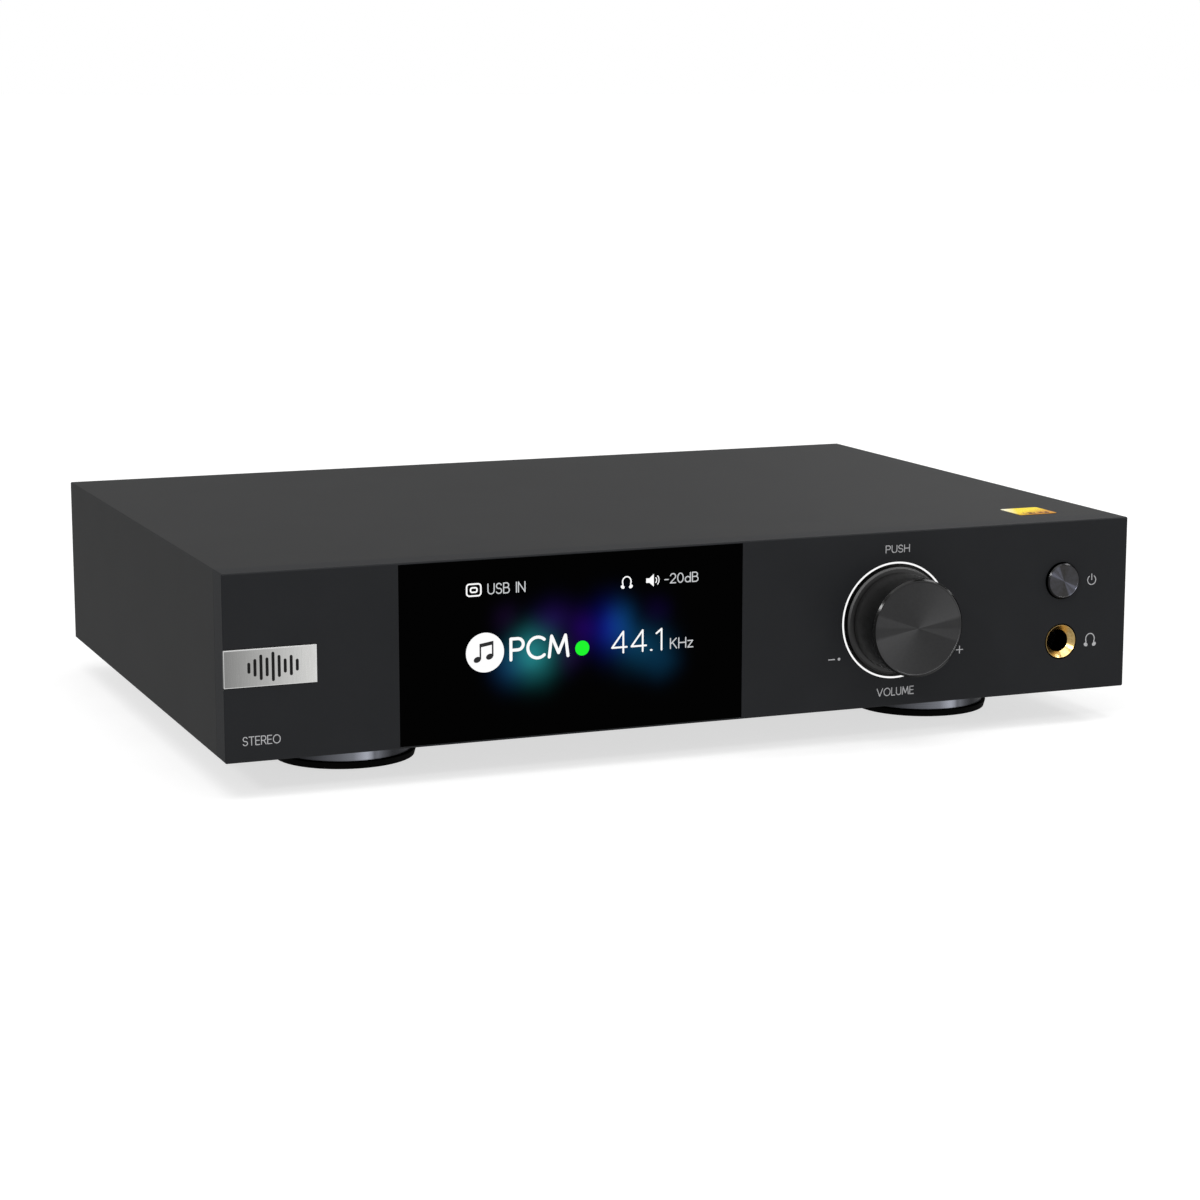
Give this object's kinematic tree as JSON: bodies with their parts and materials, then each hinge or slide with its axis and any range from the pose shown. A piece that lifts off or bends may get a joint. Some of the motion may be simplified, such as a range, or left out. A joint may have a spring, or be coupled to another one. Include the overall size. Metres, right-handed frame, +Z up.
{
  "type": "desktop dac",
  "caption": "Flat black metal desktop audio converter with a glass display strip, a light ring around a push-and-turn volume knob, a power button, a headphone socket and round feet.",
  "frame": {"origin": "on the table, below the middle of the whole object's bounding box", "axes": "+X across the front from its left to its right, +Y from the front panel to the rear panel, +Z up"},
  "size_m": [0.27, 0.212, 0.0601],
  "materials": {
    "black_anodised": "bead blasted, black anodised",
    "black_sheet": "fine black powder coat",
    "black_screws": "black oxide",
    "plated_screws": "bright zinc",
    "brushed_badge": "brushed",
    "gold_foil": "printed foil",
    "foot_metal": "turned, dark anodised",
    "foot_rubber": "matt",
    "display_glass": "black, polished",
    "display_frame": "pressed",
    "circuit_board": "green solder mask",
    "ribbon": "white film",
    "knob_metal": "spun, black anodised",
    "light_guide": "frosted, lit from behind",
    "black_plastic": "moulded",
    "rocker_plastic": "moulded",
    "shutter_plastic": "moulded",
    "encoder_metal": "stamped",
    "lamp": "white lamps",
    "gold": "gold plated",
    "socket_shell": "black plated",
    "contact_pins": "gold plated",
    "inlet_pins": "plated",
    "fuse_glass": "clear, with metal caps",
    "phono_plastic": "red, white or black",
    "standoff_brass": "machined",
    "chip_plastic": "moulded",
    "capacitor_sleeve": "shrunk sleeve",
    "heat_sink_metal": "black anodised",
    "transformer_tape": "wound steel and copper under yellow tape",
    "pad_rubber": "matt",
    "clamp_steel": "zinc plated",
    "wire_insulation": "insulation of several colours"
  },
  "bodies": {
    "case": {"base_tray": "black_sheet", "board_screws": "plated_screws", "board_standoffs": "standoff_brass", "control_board": "circuit_board", "control_ribbon": "ribbon", "cover_screws": "black_screws", "display_board": "circuit_board", "display_glass": "display_glass", "display_module": "display_frame", "display_ribbon": "ribbon", "encoder_body": "encoder_metal", "encoder_nut": "encoder_metal", "feet": "foot_metal", "filter_capacitors": "capacitor_sleeve", "foil_label": "gold_foil", "foot_pads": "foot_rubber", "foot_screws": "black_screws", "front_panel": "black_anodised", "front_panel_screws": "plated_screws", "headphone_bushing": "gold", "headphone_jack": "black_plastic", "heat_sink": "heat_sink_metal", "integrated_circuits": "chip_plastic", "internal_wires": "wire_insulation", "knob_well": "black_plastic", "light_ring": "light_guide", "main_board": "circuit_board", "mains_inlet": "black_plastic", "mains_inlet_pins": "inlet_pins", "name_badge": "brushed_badge", "optical_receiver": "black_plastic", "phono_housings": "black_plastic", "phono_inserts": "phono_plastic", "phono_shells": "gold", "power_board": "circuit_board", "power_switch_body": "black_plastic", "rear_panel": "black_sheet", "rear_panel_screws": "black_screws", "ring_leds": "lamp", "rocker_frame": "black_plastic", "top_cover": "black_anodised", "transformer_clamp": "clamp_steel", "transformer_pads": "pad_rubber", "transformer_winding": "transformer_tape", "trigger_jacks": "black_plastic", "usb_socket": "encoder_metal", "usb_tongue": "black_plastic", "xlr_inserts": "black_plastic", "xlr_pins": "contact_pins", "xlr_shells": "socket_shell"},
    "knob_piston": {"encoder_actuator": "black_plastic"},
    "knob": {"volume_knob": "knob_metal", "knob_set_screw": "plated_screws", "encoder_shaft": "encoder_metal"},
    "button": {"power_button": "knob_metal", "power_switch_plunger": "black_plastic"},
    "rocker": {"rocker_paddle": "rocker_plastic"},
    "shutter": {"optical_shutter": "shutter_plastic"},
    "drawer": {"fuse_drawer": "black_plastic", "fuse": "fuse_glass"}
  },
  "joints": [
    {"name": "knob_push", "type": "slide", "parent": "case", "child": "knob_piston", "axis": [0, 1, 0], "range_m": [0, 0.0006], "stiffness_N_per_m": 2000, "springref_m": -0.0006},
    {"name": "knob_turn", "type": "hinge", "parent": "knob_piston", "child": "knob", "pos_m": [0.0596, -0.1, 0.0347], "axis": [0, -1, 0], "continuous": true},
    {"name": "power_button_press", "type": "slide", "parent": "case", "child": "button", "axis": [0, 1, 0], "range_m": [0, 0.0008], "stiffness_N_per_m": 2000, "springref_m": -0.0004},
    {"name": "rocker_tilt", "type": "hinge", "parent": "case", "child": "rocker", "pos_m": [-0.068, 0.094, 0.035], "axis": [-1, 0, 0], "range_deg": [0, 24]},
    {"name": "optical_shutter_swing", "type": "hinge", "parent": "case", "child": "shutter", "pos_m": [0, 0.0956, 0.0275], "axis": [-1, 0, 0], "range_deg": [0, 88], "stiffness_Nm_per_rad": 0.0001, "springref_deg": -17.19},
    {"name": "fuse_drawer_slide", "type": "slide", "parent": "case", "child": "drawer", "axis": [0, 1, 0], "range_m": [0, 0.02]}
  ]
}
